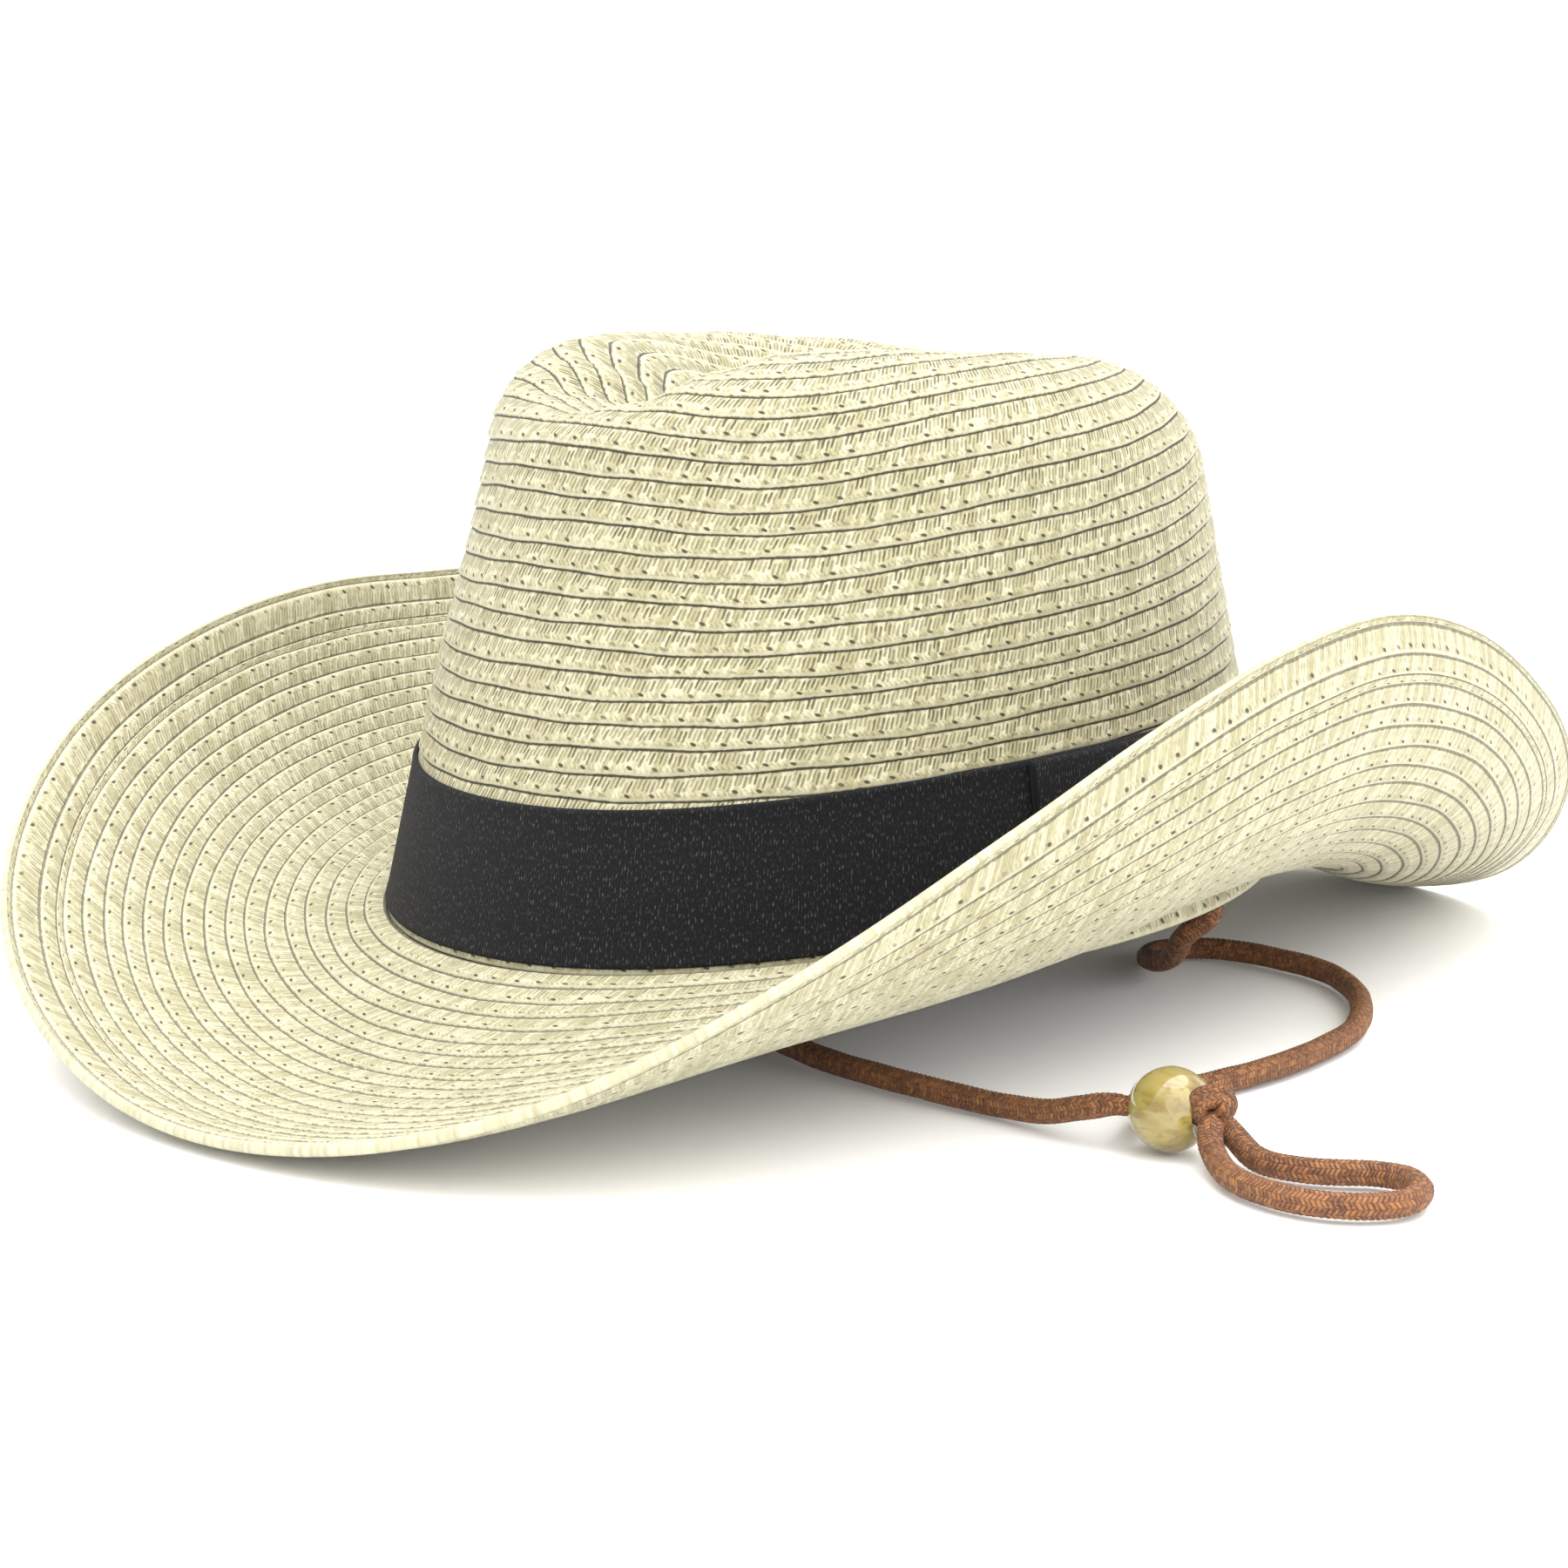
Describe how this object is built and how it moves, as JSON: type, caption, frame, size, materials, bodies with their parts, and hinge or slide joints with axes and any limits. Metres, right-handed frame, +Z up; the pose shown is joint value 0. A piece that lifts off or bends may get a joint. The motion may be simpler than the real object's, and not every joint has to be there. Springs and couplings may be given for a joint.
{
  "type": "straw cowboy hat",
  "caption": "Straw cowboy hat with a creased crown, a rolled brim, a ribbon band and a chin cord with a round bead, lying on a flat surface.",
  "frame": {"origin": "centre of the hat's box without its cord, at the surface the hat rests on", "axes": "+Z up, -Y to the front of the hat, +X to the wearer's left"},
  "size_m": [0.3435, 0.3596, 0.1413],
  "materials": {
    "straw": "matte braided straw",
    "ribbon": "matte ribbed ribbon",
    "cord": "matte braided cord",
    "bead": "polished"
  },
  "bodies": {
    "root": {"crown": "straw", "brim": "straw", "hat_band": "ribbon", "band_join": "ribbon", "cord_anchor_left": "cord", "cord_anchor_right": "cord", "chin_cord_left": "cord", "chin_cord_right": "cord", "cord_bead": "bead", "cord_knot": "cord", "chin_cord_loop": "cord"}
  },
  "joints": []
}
